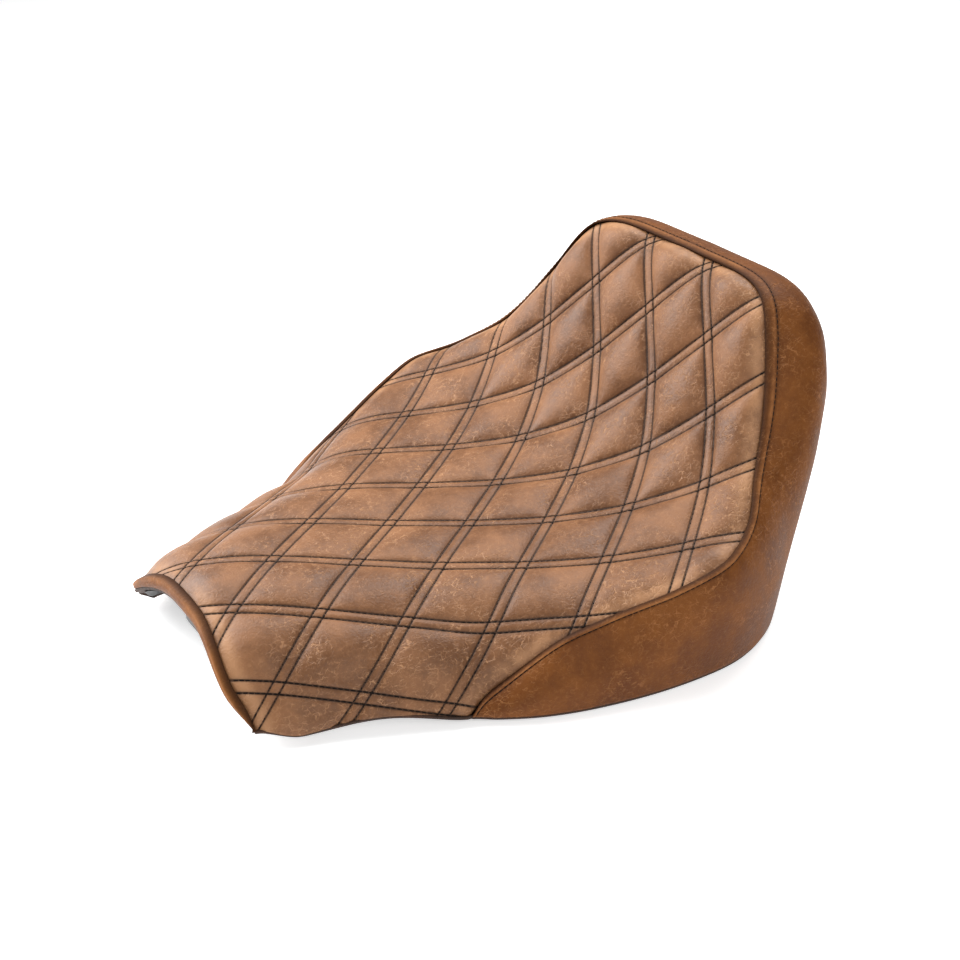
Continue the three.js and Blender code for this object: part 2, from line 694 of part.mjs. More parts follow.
// A bent steel plate: a side profile drawn in [y, z] and trimmed by its rounded plan outline.
function bentPlate(width, thickness, path, corner) {
  const lowerSide = path.map(([y, z]) => [y, z - thickness]).reverse();
  const side = new THREE.Shape([...path, ...lowerSide].map(([y, z]) => new THREE.Vector2(y, z)));
  const body = new THREE.ExtrudeGeometry(side, { depth: width, bevelEnabled: false });
  body.applyMatrix4(new THREE.Matrix4().makeBasis(vec(0, 1, 0), vec(0, 0, 1), vec(1, 0, 0)));
  body.translate(-width / 2, 0, 0);
  const [front, rear] = [path[0][0], path.at(-1)[0]];
  const plan = new THREE.Shape();
  const x = width / 2;
  plan.moveTo(-x + corner, front);
  plan.lineTo(x - corner, front);
  plan.quadraticCurveTo(x, front, x, front + corner);
  plan.lineTo(x, rear - corner);
  plan.quadraticCurveTo(x, rear, x - corner, rear);
  plan.lineTo(-x + corner, rear);
  plan.quadraticCurveTo(-x, rear, -x, rear - corner);
  plan.lineTo(-x, front + corner);
  plan.quadraticCurveTo(-x, front, -x + corner, front);
  const options = { depth: crestHeight, bevelEnabled: false, curveSegments: 5 };
  return toSolid(body).intersect(toSolid(new THREE.ExtrudeGeometry(plan, options)));
}

// Tongue at the nose, riveted to the pan's underside.
const holes = [];
const tongueTop = noseDeckHeight - panThickness - layerGap;
const tongueBend = tongueRear - 0.52 * tongueLength;
const tongueRivets = [
  { name: "tongue_rivet_left", x: tongueRivetSpacing / 2, y: tongueRear - 11 },
  { name: "tongue_rivet_right", x: -tongueRivetSpacing / 2, y: tongueRear - 11 },
];
const tongueHoles = tongueRivets.map(({ x, y }) => pin(rivetRadius + layerGap, 0, crestHeight, x, y));
holes.push(...tongueHoles);
const tongue = bentPlate(
  tongueWidth,
  tongueThickness,
  [
    [tongueRear - tongueLength, tongueTop - tongueStep],
    [tongueBend - tongueStep, tongueTop - tongueStep],
    [tongueBend, tongueTop],
    [tongueRear, tongueTop],
  ],
  tongueCorner,
);
addPart("front_tongue", without(tongue, tongueHoles), blackSteel);
for (const { name, x, y } of tongueRivets) {
  const under = tongueTop - tongueThickness - layerGap;
  const solid = roundSolid(
    [
      [0, under - rivetHeadHeight],
      [0.6 * rivetHeadRadius, under - rivetHeadHeight],
      [rivetHeadRadius, under - 0.4 * rivetHeadHeight],
      [rivetHeadRadius, under],
      [rivetRadius, under],
      [rivetRadius, noseDeckHeight - 0.6],
      [0, noseDeckHeight - 0.6],
    ],
    vec(x, y, 0),
  );
  addPart(name, solid, brightSteel);
}

// Bracket at the rear, bolted to the pan's underside, with its captive screw.
const deckUnder = deckHeight - panThickness;
const bracketTop = deckUnder - layerGap;
const lowerRearY = saddleLength + rearOverhang;
const bracketFootY = saddleLength - bracketFootAhead;
const screwY = lowerRearY + bracketReach - 13;
const bracketBend = bracketFootY + bracketFootLength / 2;
const bracketBolts = [
  { side: "left", x: boltSpacing / 2 },
  { side: "right", x: -boltSpacing / 2 },
];
const boltHole = ({ x }) => pin(boltRadius + layerGap, 0, crestHeight, x, bracketFootY);
const bracketBoltHoles = bracketBolts.map(boltHole);
holes.push(...bracketBoltHoles);
const bracket = bentPlate(
  bracketWidth,
  bracketThickness,
  [
    [bracketFootY - bracketFootLength / 2, bracketTop],
    [bracketBend, bracketTop],
    [bracketBend + bracketTop - bracketTongueTop, bracketTongueTop],
    [lowerRearY + bracketReach, bracketTongueTop],
  ],
  bracketCorner,
);
const screwHole = pin(screwRadius + screwClearance, 0, crestHeight, 0, screwY);
addPart("rear_bracket", without(bracket, [...bracketBoltHoles, screwHole]), blackSteel);

const washer = (outer, inner, low, high, x, y) =>
  roundSolid([[inner, low], [outer, low], [outer, high], [inner, high], [inner, low]], vec(x, y, 0));
for (const { side, x } of bracketBolts) {
  const under = bracketTop - bracketThickness - layerGap;
  const hole = boltRadius + layerGap;
  const low = under - washerThickness;
  addPart(
    "bracket_washer_" + side,
    washer(washerRadius, hole, low, under, x, bracketFootY),
    brightSteel,
  );
  const head = low - layerGap;
  const bolt = roundSolid(
    [
      [0, head - boltHeadHeight],
      [0.7 * boltHeadRadius, head - boltHeadHeight],
      [boltHeadRadius, head - 0.5 * boltHeadHeight],
      [boltHeadRadius, head],
      [boltRadius, head],
      [boltRadius, deckHeight - 0.6],
      [0, deckHeight - 0.6],
    ],
    vec(x, bracketFootY, 0),
  );
  addPart("bracket_bolt_" + side, bolt, brightSteel);
}

const screwWasherLow = bracketTongueTop + layerGap;
const screwWasherHigh = screwWasherLow + washerThickness;
addPart(
  "screw_washer",
  washer(washerRadius, screwRadius + screwClearance, screwWasherLow, screwWasherHigh, 0, screwY),
  brightSteel,
);
const screwHeadLow = screwWasherHigh + layerGap;
const screwEnd = bracketTongueTop - bracketThickness - screwTail;
const ringTop = bracketTongueTop - bracketThickness - layerGap;
const mountingScrew = roundSolid(
  [
    [0, screwEnd],
    [screwRadius - 0.8, screwEnd],
    [screwRadius, screwEnd + 0.8],
    [screwRadius, screwHeadLow],
    [screwHeadRadius - 0.8, screwHeadLow],
    [screwHeadRadius, screwHeadLow + 0.8],
    [screwHeadRadius, screwHeadLow + screwHeadHeight - 1],
    [screwHeadRadius - 1, screwHeadLow + screwHeadHeight],
    [0, screwHeadLow + screwHeadHeight],
  ],
  vec(0, screwY, 0),
  vec(0, 0, 1),
  28,
);
addPart("mounting_screw", mountingScrew, brightSteel);
addPart(
  "screw_retaining_ring",
  washer(ringRadius, screwRadius + ringClearance, ringTop - ringThickness, ringTop, 0, screwY),
  blackSteel,
);

// Rubber bumpers that stand on the frame rails, with stems pushed up into the pan.
const bumperTop = deckUnder - 3 * layerGap;
for (const { name, x, y } of bumperPlaces) {
  for (const side of [1, -1]) {
    holes.push(pin(bumperStemRadius + bumperClearance, 0, crestHeight, side * x, y));
    const solid = roundSolid(
      [
        [0, bumperBottom],
        [bumperRadius - 2, bumperBottom],
        [bumperRadius, bumperBottom + 2],
        [bumperRadius - 1.5, bumperTop],
        [bumperStemRadius, bumperTop],
        [bumperStemRadius, deckHeight - 1],
        [0, deckHeight - 1],
      ],
      vec(side * x, y, 0),
    );
    addPart("bumper_" + name + (side > 0 ? "_left" : "_right"), solid, rubber);
  }
}

// Base pan.
addPart("base_pan", without(pan, [...holes, ...rivetHoles]), panPlastic);

// The origin: the middle of the whole seat's box, on the base plane.
const box = new THREE.Box3().setFromObject(seat);
seat.position.set(0, -(box.min.y + box.max.y) / 2, -box.min.z);

export default seat;
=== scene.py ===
import math

import bmesh
import bpy
import numpy as np
from mathutils import Matrix, Vector


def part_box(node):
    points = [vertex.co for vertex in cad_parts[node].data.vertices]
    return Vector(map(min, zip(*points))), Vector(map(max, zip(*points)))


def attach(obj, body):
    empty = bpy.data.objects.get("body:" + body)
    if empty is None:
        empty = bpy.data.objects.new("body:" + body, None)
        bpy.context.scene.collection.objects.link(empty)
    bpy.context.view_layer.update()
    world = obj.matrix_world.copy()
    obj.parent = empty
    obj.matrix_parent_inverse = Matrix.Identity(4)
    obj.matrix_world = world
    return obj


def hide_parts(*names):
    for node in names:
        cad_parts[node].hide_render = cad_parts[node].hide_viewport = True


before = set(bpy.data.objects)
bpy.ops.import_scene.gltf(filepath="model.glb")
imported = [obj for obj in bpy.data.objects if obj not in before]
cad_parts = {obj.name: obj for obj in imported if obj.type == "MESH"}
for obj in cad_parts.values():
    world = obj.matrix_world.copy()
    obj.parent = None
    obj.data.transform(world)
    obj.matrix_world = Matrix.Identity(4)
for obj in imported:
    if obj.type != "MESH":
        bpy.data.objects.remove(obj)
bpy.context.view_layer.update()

# Sizes of the seat's form in millimetres, as the base and its covers are cut. The form is drawn with
# Y = 0 at the crest of the saddle and Z = 0 at the base plane, and moved into the frame at the end.
MM = 0.001
CREST_BEHIND_TONGUE = -8
CREST_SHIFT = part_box("front_tongue")[1].y / MM + CREST_BEHIND_TONGUE
HALF_WIDTH = 193.5
CREST_HEIGHT = 66
KICK_HEIGHT = 142.5
SADDLE_LENGTH = 341
NOSE_LENGTH = 63
REAR_OVERHANG = 10
NOSE_SWEEP = 6
NOSE_RETURN = 5
LIP_FORWARD = 4
LIP_DROP = 9
SADDLE_DIP = 3.2
SKIRT_RISE = 2
SKIRT_ARCH = 7
CORNER_RISE = 7
FENDER_ARCH = (18, 30, 74)  # height, half width of its level middle, half width at its foot
BOXING_START = 0.14

# Quilting: the lines form diamonds this wide and long, each line a double row of stitches.
DIAMOND_WIDTH = 62.28
DIAMOND_LENGTH = 88.56
ROW_OFFSET = 3.5  # each row lies this far from the middle of its line
STITCH_PITCH = 3.9
STITCH_LENGTH = 3.3
STITCH_WIDTH = 1.0
STITCH_HEIGHT = 0.7
STITCH_MARGIN = 2.2  # no stitch lies closer to a seam than this
LINE_SPACING = 1 / math.hypot(1 / DIAMOND_WIDTH, 1 / DIAMOND_LENGTH)
TOPSTITCH_OFFSET = 5  # row of stitches on the boxing, measured from the seam

# Leather, in millimetres.
COVER_WALL = 1.3
HEM_WALL = 0.9
COVER_SETTLE = 1.2  # the top cover lies this far below the form, before its padding lifts it
FLOOR_DROP = 0.6  # the floor lies this far below the lower edge

KICK_SHAPE = [
    (0.519, 0.002),
    (0.642, 0.062),
    (0.754, 0.199),
    (0.837, 0.425),
    (0.897, 0.681),
    (0.947, 0.898),
    (0.971, 0.965),
    (1, 1),
    (1.026, 1.007),
]
NOSE_SHAPE = [(-1.3, -16), (-1.08, -7.5), (-0.79, -3.2), (-0.43, -0.8)]
# Place along, reach, edge angle, sharpness of the shoulder, hollow.
ACROSS_SHAPE = np.array([
    (-0.184, 0.56, 64, 1.2, 0),
    (-0.11, 0.65, 74, 1.45, 0),
    (0, 0.755, 68, 1.55, 0),
    (0.11, 0.827, 62, 1.9, 0),
    (0.216, 0.884, 66, 2.75, 0),
    (0.324, 0.94, 54, 5.2, 0),
    (0.437, 0.961, 24, 8, 4),
    (0.545, 0.982, 18, 8, 8),
    (0.654, 0.889, 32, 8, 6),
    (0.737, 0.765, 38, 8, 2),
    (0.87, 0.62, 38, 8, 0),
    (1.03, 0.517, 38, 8, 0),
])
# Seam: half width, place along. Lower edge: half width, place along.
BOXING_SHAPE = [
    (0.832, 0.167, 0.772, 0.177),
    (0.819, 0.201, 0.808, 0.208),
    (0.822, 0.285, 0.873, 0.279),
    (0.863, 0.364, 0.941, 0.393),
    (0.935, 0.467, 0.987, 0.519),
    (0.966, 0.55, 1, 0.65),
    (0.946, 0.59, 0.982, 0.712),
    (0.889, 0.644, 0.941, 0.772),
    (0.775, 0.717, 0.879, 0.826),
    (0.615, 0.865, 0.734, 0.906),
    (0.506, 0.953, 0.543, 0.963),
    (0.444, 0.978, 0.444, 0.98),
    (0.34, 0.994, 0.31, 0.991),
    (0, 1, 0, 1),
]


def smooth(a):
    a = np.clip(a, 0, 1)
    return a * a * (3 - 2 * a)


def mix(a, b, t):
    return a + (b - a) * t


def unit(vectors):
    return vectors / np.maximum(np.linalg.norm(vectors, axis=-1, keepdims=True), 1e-12)


def read_table(table, at):
    """A smooth curve through a table's rows, read at values of its first column."""
    key = table[:, 0]
    slope = np.empty_like(table[:, 1:])
    slope[1:-1] = (table[2:, 1:] - table[:-2, 1:]) / (key[2:] - key[:-2])[:, None]
    slope[0] = (table[1, 1:] - table[0, 1:]) / (key[1] - key[0])
    slope[-1] = (table[-1, 1:] - table[-2, 1:]) / (key[-1] - key[-2])
    i = np.clip(np.searchsorted(key, at) - 1, 0, len(key) - 2)
    h = (key[i + 1] - key[i])[:, None]
    t = np.clip((at[:, None] - key[i][:, None]) / h, 0, 1)
    bend = t * (1 - t) * h * ((1 - t) * slope[i] - t * slope[i + 1])
    return mix(table[i, 1:], table[i + 1, 1:], t * t * (3 - 2 * t)) + bend


def smooth_curve(points, steps=60):
    """A centripetal Catmull-Rom curve through the points, with steps samples in each span."""
    p = np.array(points, float)
    p = np.vstack([2 * p[0] - p[1], p, 2 * p[-1] - p[-2]])
    gap = np.sqrt(np.linalg.norm(np.diff(p, axis=0), axis=1))
    t = np.linspace(0, 1, steps, endpoint=False)[:, None]
    spans = []
    for k in range(1, len(p) - 2):
        before, here, after = gap[k - 1 : k + 2]
        chord = p[k + 1] - p[k]
        start = (p[k] - p[k - 1]) / before - (p[k + 1] - p[k - 1]) / (before + here) + chord / here
        end = chord / here - (p[k + 2] - p[k]) / (here + after) + (p[k + 2] - p[k + 1]) / after
        bend = (1 - t) * (start * here - chord) - t * (end * here - chord)
        spans.append(p[k] + chord * t + t * (1 - t) * bend)
    return np.vstack([*spans, p[-2:-1]])


def lengths_along(points):
    return np.concatenate([[0], np.cumsum(np.linalg.norm(np.diff(points, axis=0), axis=1))])


def along_curve(points, count):
    """The curve again, as this many points equally far apart."""
    s = lengths_along(points)
    at = np.linspace(0, s[-1], count)
    return np.stack([np.interp(at, s, points[:, k]) for k in range(points.shape[1])], 1)


# The top of the seat as a sheet: u across it and v along it, both in millimetres on its surface.
def centre_line():
    points = [(y * NOSE_LENGTH, z) for y, z in NOSE_SHAPE] + [(0, 0)]
    points += [(0.13 * SADDLE_LENGTH, -0.53 * SADDLE_DIP), (0.26 * SADDLE_LENGTH, -SADDLE_DIP)]
    points += [(0.39 * SADDLE_LENGTH, -0.84 * SADDLE_DIP)]
    points += [(y * SADDLE_LENGTH, z * KICK_HEIGHT) for y, z in KICK_SHAPE]
    steps = 200
    line = smooth_curve(points, steps)
    lengths = lengths_along(line)
    return line, lengths - lengths[steps * len(NOSE_SHAPE)], steps


CENTRE, CENTRE_AT, CENTRE_STEPS = centre_line()
PANEL_LENGTH = CENTRE_AT[-1 - CENTRE_STEPS]
V_FIRST, V_LAST, U_LAST = -82, int(CENTRE_AT[-1]) - 1, 216
V_ROWS = np.arange(V_FIRST, V_LAST + 1.0)
U_COLUMNS = np.arange(0, U_LAST + 1.0)


def sheet_table():
    """Where each whole millimetre of the sheet lies, set off from the spine along the way up there."""
    reach, angle, sharpness, hollow = (
        column[:, None] for column in read_table(ACROSS_SHAPE, V_ROWS / PANEL_LENGTH).T
    )
    reach = reach * HALF_WIDTH
    turn = np.radians(np.minimum(angle * ((U_COLUMNS[1:] - 0.5) / reach) ** sharpness, 86))
    zero = np.zeros((len(V_ROWS), 1))
    x = np.hstack([zero, np.cumsum(np.cos(turn), 1)])
    drop = np.hstack([zero, np.cumsum(np.sin(turn), 1)])
    drop -= hollow * (U_COLUMNS / (0.93 * HALF_WIDTH)) ** 2
    spine = np.stack([np.interp(V_ROWS, CENTRE_AT, CENTRE[:, k]) for k in (0, 1)], 1)
    tangent = unit(np.gradient(spine, axis=0))
    lean = smooth((V_ROWS / PANEL_LENGTH - 0.147) / 0.27)
    up = unit(np.stack([-tangent[:, 1] * lean, mix(1, tangent[:, 0], lean)], 1))
    y = spine[:, :1] - up[:, :1] * drop
    z = CREST_HEIGHT + spine[:, 1:] - up[:, 1:] * drop
    return np.stack([x, y, z], -1)


SHEET = sheet_table()


def sheet_point(u, v):
    """Points of the form for places on the flat sheet."""
    across = np.clip(np.abs(u), 0, U_LAST - 1e-6)
    along = np.clip(v - V_FIRST, 0, len(V_ROWS) - 1 - 1e-6)
    i, j = along.astype(int), across.astype(int)
    s, t = (along - i)[..., None], (across - j)[..., None]
    near = mix(SHEET[i, j], SHEET[i, j + 1], t)
    far = mix(SHEET[i + 1, j], SHEET[i + 1, j + 1], t)
    points = mix(near, far, s)
    points[..., 0] *= np.where(u < 0, -1, 1)
    return points


def sheet_normal(u, v, reach=2.5):
    across = sheet_point(u + reach, v) - sheet_point(u - reach, v)
    along = sheet_point(u, v + reach) - sheet_point(u, v - reach)
    return unit(np.cross(across, along))


def lower_edge_height(y):
    front = 1 - smooth((y - 40) / 90)
    arch = (1 + np.cos(np.pi * np.clip(np.abs(y - 8) / NOSE_LENGTH, 0, 1))) / 2
    corner = 1 - smooth((y + NOSE_LENGTH) / 26)
    return SKIRT_RISE * front + SKIRT_ARCH * arch + CORNER_RISE * corner


def fender_arch(x):
    height, flat, foot = FENDER_ARCH
    return height * (1 - smooth((np.abs(x) - flat) / (foot - flat)))


# Outline of the top panel, and the body's lower edge below it, from the nose to the tail. The
# covers end HEM_START above the lower edge, where the rolled hem takes over.
HEM_START = 3.5


def skirt_reach(v):
    """Half width of the sheet at the front skirts' lower edge."""
    u = np.linspace(0.2 * HALF_WIDTH, U_LAST - 1, 1200)
    grid = sheet_point(*np.meshgrid(u, v))
    above = grid[..., 2] > lower_edge_height(grid[..., 1]) + HEM_START
    return u[np.argmin(above, axis=1)]


NOSE_CORNER_V = NOSE_RETURN - NOSE_LENGTH - NOSE_SWEEP
BOXING_V = BOXING_START * PANEL_LENGTH
SKIRT_V = np.linspace(NOSE_CORNER_V, BOXING_V, 140)
SKIRT_U = np.convolve(np.pad(skirt_reach(SKIRT_V), 4, "edge"), np.ones(9) / 9, "valid")
BOXING_FOOT = sheet_point(SKIRT_U[-1:], SKIRT_V[-1:])[0]
SEAM_POINTS = [(SKIRT_U[-1], BOXING_V)]
SEAM_POINTS += [(u * HALF_WIDTH, v * PANEL_LENGTH) for u, v, _, _ in BOXING_SHAPE]
SEAM = along_curve(smooth_curve(SEAM_POINTS), 620)
EDGE_POINTS = [tuple(BOXING_FOOT[:2])]
EDGE_POINTS += [
    (x * HALF_WIDTH, y * (SADDLE_LENGTH + REAR_OVERHANG)) for _, _, x, y in BOXING_SHAPE
]


def nose_seam(u):
    share = np.abs(u) / HALF_WIDTH
    forward = NOSE_SWEEP * smooth((share - 0.08) / 0.3)
    return NOSE_RETURN * smooth((share - 0.38) / 0.18) - NOSE_LENGTH - forward


def nose_strip(u):
    """Seam and lower edge of the nose panel for places across the nose."""
    edge = sheet_point(u, nose_seam(u))
    fade = (1 - np.minimum(np.abs(u) / SKIRT_U[0], 1) ** 4)[:, None]
    lower = edge - fade * np.array([0, LIP_FORWARD, LIP_DROP])
    low = lower_edge_height(edge[:, 1]) + HEM_START
    lower[:, 2] = np.maximum(lower[:, 2], low)
    return edge, lower


def boxing_strip(count):
    """Seam and lower edge of the boxing, from the skirt to the middle of the tail."""
    share = np.linspace(0, 1, count)
    seam_curve, edge_curve = smooth_curve(SEAM_POINTS), smooth_curve(EDGE_POINTS)
    knots = np.linspace(0, 1, len(seam_curve))
    seam = np.stack([np.interp(share, knots, seam_curve[:, k]) for k in (0, 1)], 1)
    lower = np.stack([np.interp(share, knots, edge_curve[:, k]) for k in (0, 1)], 1)
    rear = smooth((lower[:, 1] / SADDLE_LENGTH - 0.85) / 0.1)
    z = lower_edge_height(lower[:, 1]) + fender_arch(lower[:, 0]) * rear + HEM_START
    return sheet_point(seam[:, 0], seam[:, 1]), np.column_stack([lower, z]), seam


def mirrored_out(points):
    """Both halves of an outline from its left half, which starts and ends on the centre plane."""
    return np.vstack([points, (points[1:-1] * [-1, 1, 1])[::-1]])


def outward(loop):
    """Outward direction of a closed loop seen from above."""
    along = np.roll(loop, -1, 0) - np.roll(loop, 1, 0)
    out = np.column_stack([along[:, 1], -along[:, 0], np.zeros(len(loop))])
    for _ in range(3):
        out = (np.roll(out, 1, 0) + 2 * out + np.roll(out, -1, 0)) / 4
    return unit(out)


# Meshes laid over the form.
def in_frame(points):
    return (points + [0, CREST_SHIFT, 0]) * MM


def laid_grid(name, columns, rows, place, closed=False):
    """A flat grid laid over the form. place gives each vertex's point, flat place, painted shade mask
    of the grooves and wear mask from its two shares of the grid, both 0 to 1."""
    bm = bmesh.new()
    bmesh.ops.create_grid(bm, x_segments=columns, y_segments=rows, size=1)
    shares = (np.array([v.co[:2] for v in bm.verts]) + 1) / 2
    points, flat, groove_shade, wear = place(shares[:, 0], shares[:, 1])
    for vertex, point in zip(bm.verts, in_frame(points)):
        vertex.co = point
    flat_layer = bm.loops.layers.uv.new("flat")
    # The first mask is painted shade in the grooves and seams.
    for mask, values in (("groove_shade", groove_shade), ("wear", wear)):
        layer = bm.verts.layers.float.new(mask)
        for vertex, value in zip(bm.verts, values):
            vertex[layer] = value
    flat = flat * MM
    for vertex in bm.verts:
        for loop in vertex.link_loops:
            loop[flat_layer].uv = flat[vertex.index]
    if closed:
        bmesh.ops.remove_doubles(bm, verts=bm.verts, dist=0.00002)
    for face in bm.faces:
        face.smooth = True
    mesh = bpy.data.meshes.new(name)
    bm.to_mesh(mesh)
    bm.free()
    piece = bpy.data.objects.new(name, mesh)
    bpy.context.scene.collection.objects.link(piece)
    return piece


def edge_distance(flat, outline):
    """Distance of flat places from an outline, in millimetres."""
    nearest = np.full(len(flat), 1e9)
    for part in np.array_split(outline, 12):
        gap = np.linalg.norm(flat[:, None] - part[None], axis=2).min(axis=1)
        nearest = np.minimum(nearest, gap)
    return nearest


def line_distances(u, v):
    """Distance of a flat place from the nearest stitched line of each of the two directions."""
    first = u / DIAMOND_WIDTH - v / DIAMOND_LENGTH
    second = u / DIAMOND_WIDTH + v / DIAMOND_LENGTH
    return [np.abs(k - np.round(k)) * LINE_SPACING for k in (first, second)]


def puff(u, v):
    """Height of the quilting: pillows between the lines and a low ridge between each line's rows."""
    half = LINE_SPACING / 2 - ROW_OFFSET
    pillow, crease = 1, 0
    ridge = 0
    for gap in line_distances(u, v):
        inside = np.clip((gap - ROW_OFFSET) / half, 0, 1)
        pillow = pillow * (1 - (1 - inside) ** 2.3)
        crease = np.maximum(crease, np.exp(-(((gap - ROW_OFFSET) / 1.3) ** 2)))
        ridge = np.maximum(ridge, np.clip(1 - (gap / ROW_OFFSET) ** 2, 0, 1))
    lift = mix(3.4, 7.2, smooth((v - 130) / 150)) * mix(1, 0.62, smooth((np.abs(u) - 95) / 45))
    return pillow**0.8 * lift + 0.45 * ridge - 0.7 * crease, crease


def seam_outline():
    nose_u = np.linspace(-SKIRT_U[0], SKIRT_U[0], 160)
    nose = np.column_stack([nose_u, nose_seam(nose_u)])
    return nose, np.vstack([SEAM, SEAM * [-1, 1]])


NOSE_OUTLINE, BOXING_OUTLINE = seam_outline()


def panel_flat(across, along):
    """Flat place on the top panel for shares of its grid."""
    s = across * 2 - 1
    seam_v = SEAM[:, 1]
    corner = np.searchsorted(seam_v, 0.965 * PANEL_LENGTH)
    side_v = np.concatenate([SKIRT_V, SEAM[1:corner, 1]])
    side_u = np.concatenate([SKIRT_U, SEAM[1:corner, 0]])
    v_side = mix(side_v[0], side_v[-1], along)
    u_side = np.interp(v_side, side_v, side_u)
    tail_u, tail_v = SEAM[corner - 1 :, 0][::-1], SEAM[corner - 1 :, 1][::-1]
    tail = np.interp(np.abs(s) * side_u[-1], tail_u, tail_v) - side_v[-1]
    nose = nose_seam(s * side_u[0]) - side_v[0]
    return s * u_side, v_side + mix(nose, tail, along)


def panel_surface(u, v):
    """Point, normal, painted shade mask of the grooves and wear mask for flat places on the top panel."""
    flat = np.column_stack([u, v])
    to_nose = edge_distance(flat, NOSE_OUTLINE)
    to_boxing = edge_distance(flat, BOXING_OUTLINE)
    to_seam = np.minimum(to_nose, to_boxing)
    height, crease = puff(u, v)
    settled = smooth(to_seam / 18) ** 0.6
    height = height * settled - 0.5 * (1 - settled) - 1.1 * (1 - np.clip(to_seam / 4, 0, 1)) ** 2
    normal = sheet_normal(u, v)
    points = sheet_point(u, v) + normal * (height - COVER_SETTLE)[:, None]
    # Painted shade: darker along the seams and the quilting creases.
    groove_shade = np.maximum(0.5 * crease, np.exp(-((to_seam / 1.1) ** 2)))
    wear = np.exp(-(((to_seam - 7) / 4.5) ** 2))
    return points, normal, groove_shade, wear


def make_top_cover():
    def place(across, along):
        u, v = panel_flat(across, along)
        points, _, groove_shade, wear = panel_surface(u, v)
        return points, np.column_stack([u, v]), groove_shade, wear

    columns, rows = ((216, 270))
    return laid_grid("quilted_cover", columns, rows, place)


BOXING_SAMPLES = 1200
BOXING_EDGE, BOXING_LOWER, _ = boxing_strip(BOXING_SAMPLES)
BOXING_ALONG = np.gradient(BOXING_LOWER[:, :2], axis=0)
BOXING_LEVEL = np.zeros(BOXING_SAMPLES)
BOXING_OUT = unit(np.column_stack([BOXING_ALONG[:, 1], -BOXING_ALONG[:, 0], BOXING_LEVEL]))


def cubic(first, second, third, fourth, t):
    """A point on the cubic curve through its first and last points."""
    return (
        (1 - t) ** 3 * first
        + 3 * (1 - t) ** 2 * t * second
        + 3 * (1 - t) * t * t * third
        + t**3 * fourth
    )


def boxing_surface(share, down=None, from_seam=None):
    """Points of the left boxing, from skirt to tail, at a share of its height or a distance from
    the seam, with that distance and the outward direction."""
    last = BOXING_SAMPLES - 1
    k = np.clip(np.round(share * last).astype(int), 0, last)
    edge, lower, out = BOXING_EDGE[k], BOXING_LOWER[k], BOXING_OUT[k]
    length = np.linalg.norm(edge - lower, axis=1)
    if down is None:
        down = np.clip(from_seam / np.maximum(length, 1e-6), 0, 1)
    from_seam = down * length
    up = np.array([[0, 0, 1]])
    tall = np.clip((edge[:, 2:] - 60) / 120, 0, 1)
    bulge = length[:, None]
    first = edge + bulge * (out * (0.1 + 0.36 * tall) + up * (0.02 * tall - 0.1 * (1 - tall)))
    second = lower + bulge * (out * 0.06 + up * 0.42)
    points = cubic(edge, first, second, lower, down[:, None])
    fold = 0.7 * smooth(from_seam / 1.6) * (1 - smooth((from_seam - 3.6) / 2))
    fold -= 2.2 * (1 - np.clip(from_seam / 1.6, 0, 1)) ** 2
    fold -= 0.5 * np.exp(-((from_seam - TOPSTITCH_OFFSET) ** 2))
    fold *= smooth(length / 14)
    return points + out * fold[:, None], from_seam, out


def make_boxing():
    def place(across, down):
        side = np.where(across < 0.5, -1, 1)
        points, from_seam, _ = boxing_surface(1 - np.abs(across * 2 - 1), down**1.25)
        points[:, 0] *= side
        topstitch = np.exp(-((from_seam - TOPSTITCH_OFFSET) ** 2))
        # Painted shade: darker along the seam and the topstitch groove.
        groove_shade = np.maximum(0.6 * topstitch, np.exp(-((from_seam / 1.1) ** 2)))
        wear = np.exp(-(((from_seam - 2.8) / 1.4) ** 2))
        return points, np.column_stack([across * 1500, from_seam]), groove_shade, wear

    columns, rows = ((700, 56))
    return laid_grid("boxing_cover", columns, rows, place)


def make_nose_cover():
    def place(across, down):
        u = (1 - across * 2) * SKIRT_U[0]
        edge, lower = nose_strip(u)
        length = np.linalg.norm(edge - lower, axis=1)
        t = down[:, None]
        first = edge + np.array([0, -0.42, -0.15]) * length[:, None]
        last = lower + np.array([0, -0.16, 0.4]) * length[:, None]
        points = cubic(edge, first, last, lower, t)
        from_seam = down * length
        fold = 0.7 * smooth(from_seam / 1.4) * (1 - smooth((from_seam - 2.6) / 1.6))
        fold -= 1.8 * (1 - np.clip(from_seam / 2, 0, 1)) ** 2
        points[:, 1] -= fold * smooth(length / 6)
        # Painted shade: darker along the seam.
        groove_shade = np.exp(-((from_seam / 1.6) ** 2))
        wear = np.exp(-(((from_seam - 3.6) / 2.2) ** 2))
        return points, np.column_stack([u, from_seam]), groove_shade, wear

    return laid_grid("nose_cover", 150, 12, place)


def lower_loop():
    """The covers' lower edge all round the seat, as a closed loop."""
    nose_u = np.linspace(0, SKIRT_U[0], 60)
    _, nose = nose_strip(nose_u)
    skirt = sheet_point(SKIRT_U, SKIRT_V)
    _, boxing, _ = boxing_strip(500)
    left = np.vstack([nose, skirt[1:], boxing[1:]])
    left[0, 0] = left[-1, 0] = 0
    return mirrored_out(along_curve(left, 420))


